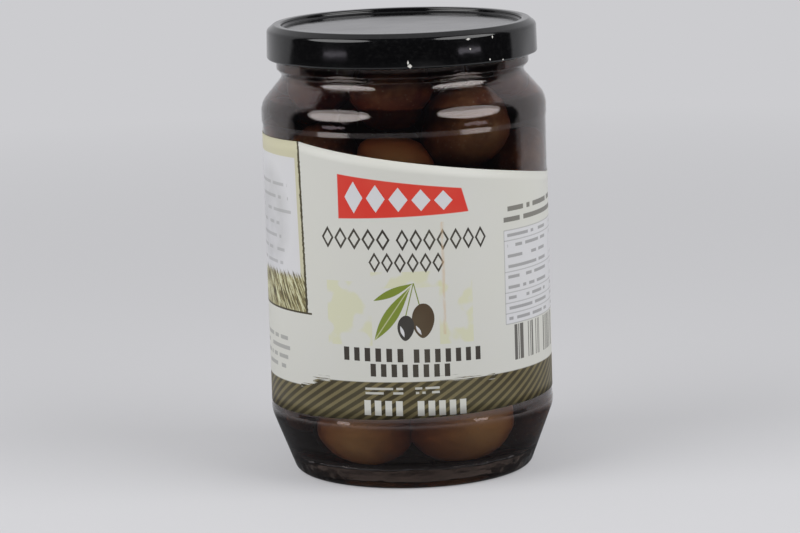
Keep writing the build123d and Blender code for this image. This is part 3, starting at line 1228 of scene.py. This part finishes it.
def make_lamps(context):
    """Two round soft lamps, one on each side of the camera."""
    s = context.scene.jar_studio
    aim = Vector((0, 0, s.aim_height))
    for name, side in (("left_lamp", -1), ("right_lamp", 1)):
        lamp = bpy.data.lights.new(name, "AREA")
        lamp.shape = "DISK"
        lamp.size = 2 * s.lamp_radius
        lamp.energy = s.lamp_power
        flat = round_the_axis(side * s.lamp_angle, s.lamp_distance * cos(s.lamp_rise))
        place = flat + Vector((0, 0, s.lamp_distance * sin(s.lamp_rise))) + aim
        aim_object(context, name, lamp, place, aim)


def make_camera(context):
    """The camera in front of the jar, a little above it."""
    s = context.scene.jar_studio
    data = bpy.data.cameras.new("camera")
    data.lens = s.lens
    data.sensor_width = 36.0
    data.clip_start = 0.05
    data.clip_end = 20.0
    aim = Vector((s.aside, 0, s.aim_height))
    place = aim + s.distance * Vector((0, -cos(s.rise), sin(s.rise)))
    context.scene.camera = aim_object(context, "camera", data, place, aim, -s.roll)


def make_stage(context):
    """Floor, world, lamps and camera."""
    make_floor(context)
    make_world(context)
    make_lamps(context)
    make_camera(context)
    context.scene.view_settings.view_transform = "Standard"


# ---- operators and panel ----

class Building:
    """What the operators share: each builds one piece, or the studio."""

    def execute(self, context):
        self.build(context)
        return {"FINISHED"}


class OLIVEJAR_OT_stage(Building, bpy.types.Operator):
    """Set up the floor, the light and the camera"""

    bl_idname = "olivejar.stage"
    bl_label = "Studio"
    build = staticmethod(make_stage)


class OLIVEJAR_OT_glass(Building, bpy.types.Operator):
    """Turn the glass jar"""

    bl_idname = "olivejar.glass"
    bl_label = "Glass"
    build = staticmethod(make_glass)


class OLIVEJAR_OT_brine(Building, bpy.types.Operator):
    """Fill the jar with brine"""

    bl_idname = "olivejar.brine"
    bl_label = "Brine"
    build = staticmethod(make_brine)


class OLIVEJAR_OT_olives(Building, bpy.types.Operator):
    """Pack the olives"""

    bl_idname = "olivejar.olives"
    bl_label = "Olives"
    build = staticmethod(make_olives)


class OLIVEJAR_OT_lid(Building, bpy.types.Operator):
    """Press the lid"""

    bl_idname = "olivejar.lid"
    bl_label = "Lid"
    build = staticmethod(make_lid)


class OLIVEJAR_OT_label(Building, bpy.types.Operator):
    """Print the label and wrap it round the jar"""

    bl_idname = "olivejar.label"
    bl_label = "Label"
    build = staticmethod(make_label)


OPERATORS = (
    OLIVEJAR_OT_stage,
    OLIVEJAR_OT_glass,
    OLIVEJAR_OT_brine,
    OLIVEJAR_OT_olives,
    OLIVEJAR_OT_lid,
    OLIVEJAR_OT_label,
)


class OLIVEJAR_PT_panel(bpy.types.Panel):
    """The jar's pieces and their sizes"""

    bl_idname = "OLIVEJAR_PT_panel"
    bl_label = "Jar of olives"
    bl_space_type = "VIEW_3D"
    bl_region_type = "UI"
    bl_category = "Olive jar"

    def draw(self, context):
        for operator in OPERATORS:
            self.layout.operator(operator.bl_idname)
        for name in GROUPS:
            box = self.layout.box()
            group = getattr(context.scene, name)
            for key in group.__annotations__:
                box.prop(group, key)


def register():
    for name, group in GROUPS.items():
        bpy.utils.register_class(group)
        setattr(bpy.types.Scene, name, PointerProperty(type=group))
    for operator in OPERATORS:
        bpy.utils.register_class(operator)
    bpy.utils.register_class(OLIVEJAR_PT_panel)


def unregister():
    bpy.utils.unregister_class(OLIVEJAR_PT_panel)
    for operator in reversed(OPERATORS):
        bpy.utils.unregister_class(operator)
    for name, group in reversed(GROUPS.items()):
        delattr(bpy.types.Scene, name)
        bpy.utils.unregister_class(group)


def main():
    register()
    bpy.ops.olivejar.stage()
    bpy.ops.olivejar.glass()
    bpy.ops.olivejar.brine()
    bpy.ops.olivejar.olives()
    bpy.ops.olivejar.lid()
    bpy.ops.olivejar.label()


if __name__ == "__main__":
    main()
